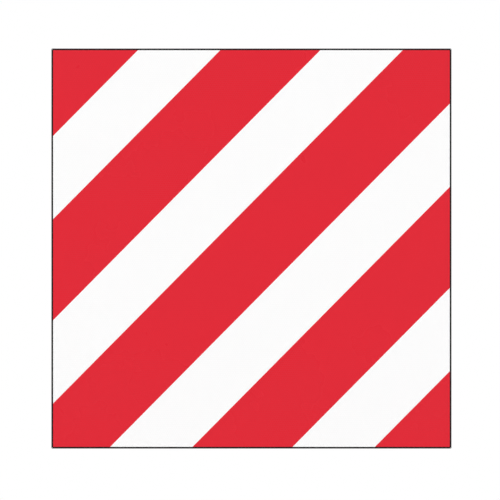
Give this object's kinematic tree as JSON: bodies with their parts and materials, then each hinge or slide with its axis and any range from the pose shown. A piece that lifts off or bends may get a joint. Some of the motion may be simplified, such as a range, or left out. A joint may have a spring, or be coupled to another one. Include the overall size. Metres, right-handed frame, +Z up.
{
  "type": "hatched marker panel",
  "caption": "Square red and white diagonally striped marker panel: a folded steel pan with reflective film, slotted back rails and sliding clamps that grip a round post.",
  "frame": {"origin": "on the axis of the round post, at mid height of the panel", "axes": "+X to the right of a viewer who faces the stripes, +Y away from that viewer (to the post side), +Z up along the post"},
  "size_m": [0.6, 0.106, 0.6],
  "materials": {
    "pan_coating": "fine-textured black powder coat on steel sheet",
    "white_film": "white reflective sheeting, satin",
    "red_film": "red translucent overlay film",
    "rail_aluminium": "extruded, mill finish",
    "rivet_aluminium": "satin",
    "saddle_aluminium": "extruded, saw-cut ends",
    "strap_steel": "galvanised",
    "fastener_steel": "zinc plated"
  },
  "bodies": {
    "panel": {"folded_pan": "pan_coating", "white_sheeting": "white_film", "red_stripe_1": "red_film", "red_stripe_2": "red_film", "red_stripe_3": "red_film", "red_stripe_4": "red_film", "red_stripe_5": "red_film", "upper_rail": "rail_aluminium", "lower_rail": "rail_aluminium", "upper_rail_rivets": "rivet_aluminium", "lower_rail_rivets": "rivet_aluminium"},
    "upper_clamp": {"upper_saddle": "saddle_aluminium", "upper_clamp_bolts": "fastener_steel"},
    "upper_clamp_strap": {"upper_strap": "strap_steel", "upper_strap_washers": "fastener_steel", "upper_strap_nuts": "fastener_steel"},
    "lower_clamp": {"lower_saddle": "saddle_aluminium", "lower_clamp_bolts": "fastener_steel"},
    "lower_clamp_strap": {"lower_strap": "strap_steel", "lower_strap_washers": "fastener_steel", "lower_strap_nuts": "fastener_steel"}
  },
  "joints": [
    {"name": "upper_clamp_slide", "type": "slide", "parent": "panel", "child": "upper_clamp", "axis": [1, 0, 0], "range_m": [-0.24, 0.24]},
    {"name": "upper_strap_release", "type": "slide", "parent": "upper_clamp", "child": "upper_clamp_strap", "axis": [0, 1, 0], "range_m": [0, 0.01]},
    {"name": "lower_clamp_slide", "type": "slide", "parent": "panel", "child": "lower_clamp", "axis": [1, 0, 0], "range_m": [-0.24, 0.24]},
    {"name": "lower_strap_release", "type": "slide", "parent": "lower_clamp", "child": "lower_clamp_strap", "axis": [0, 1, 0], "range_m": [0, 0.01]}
  ]
}
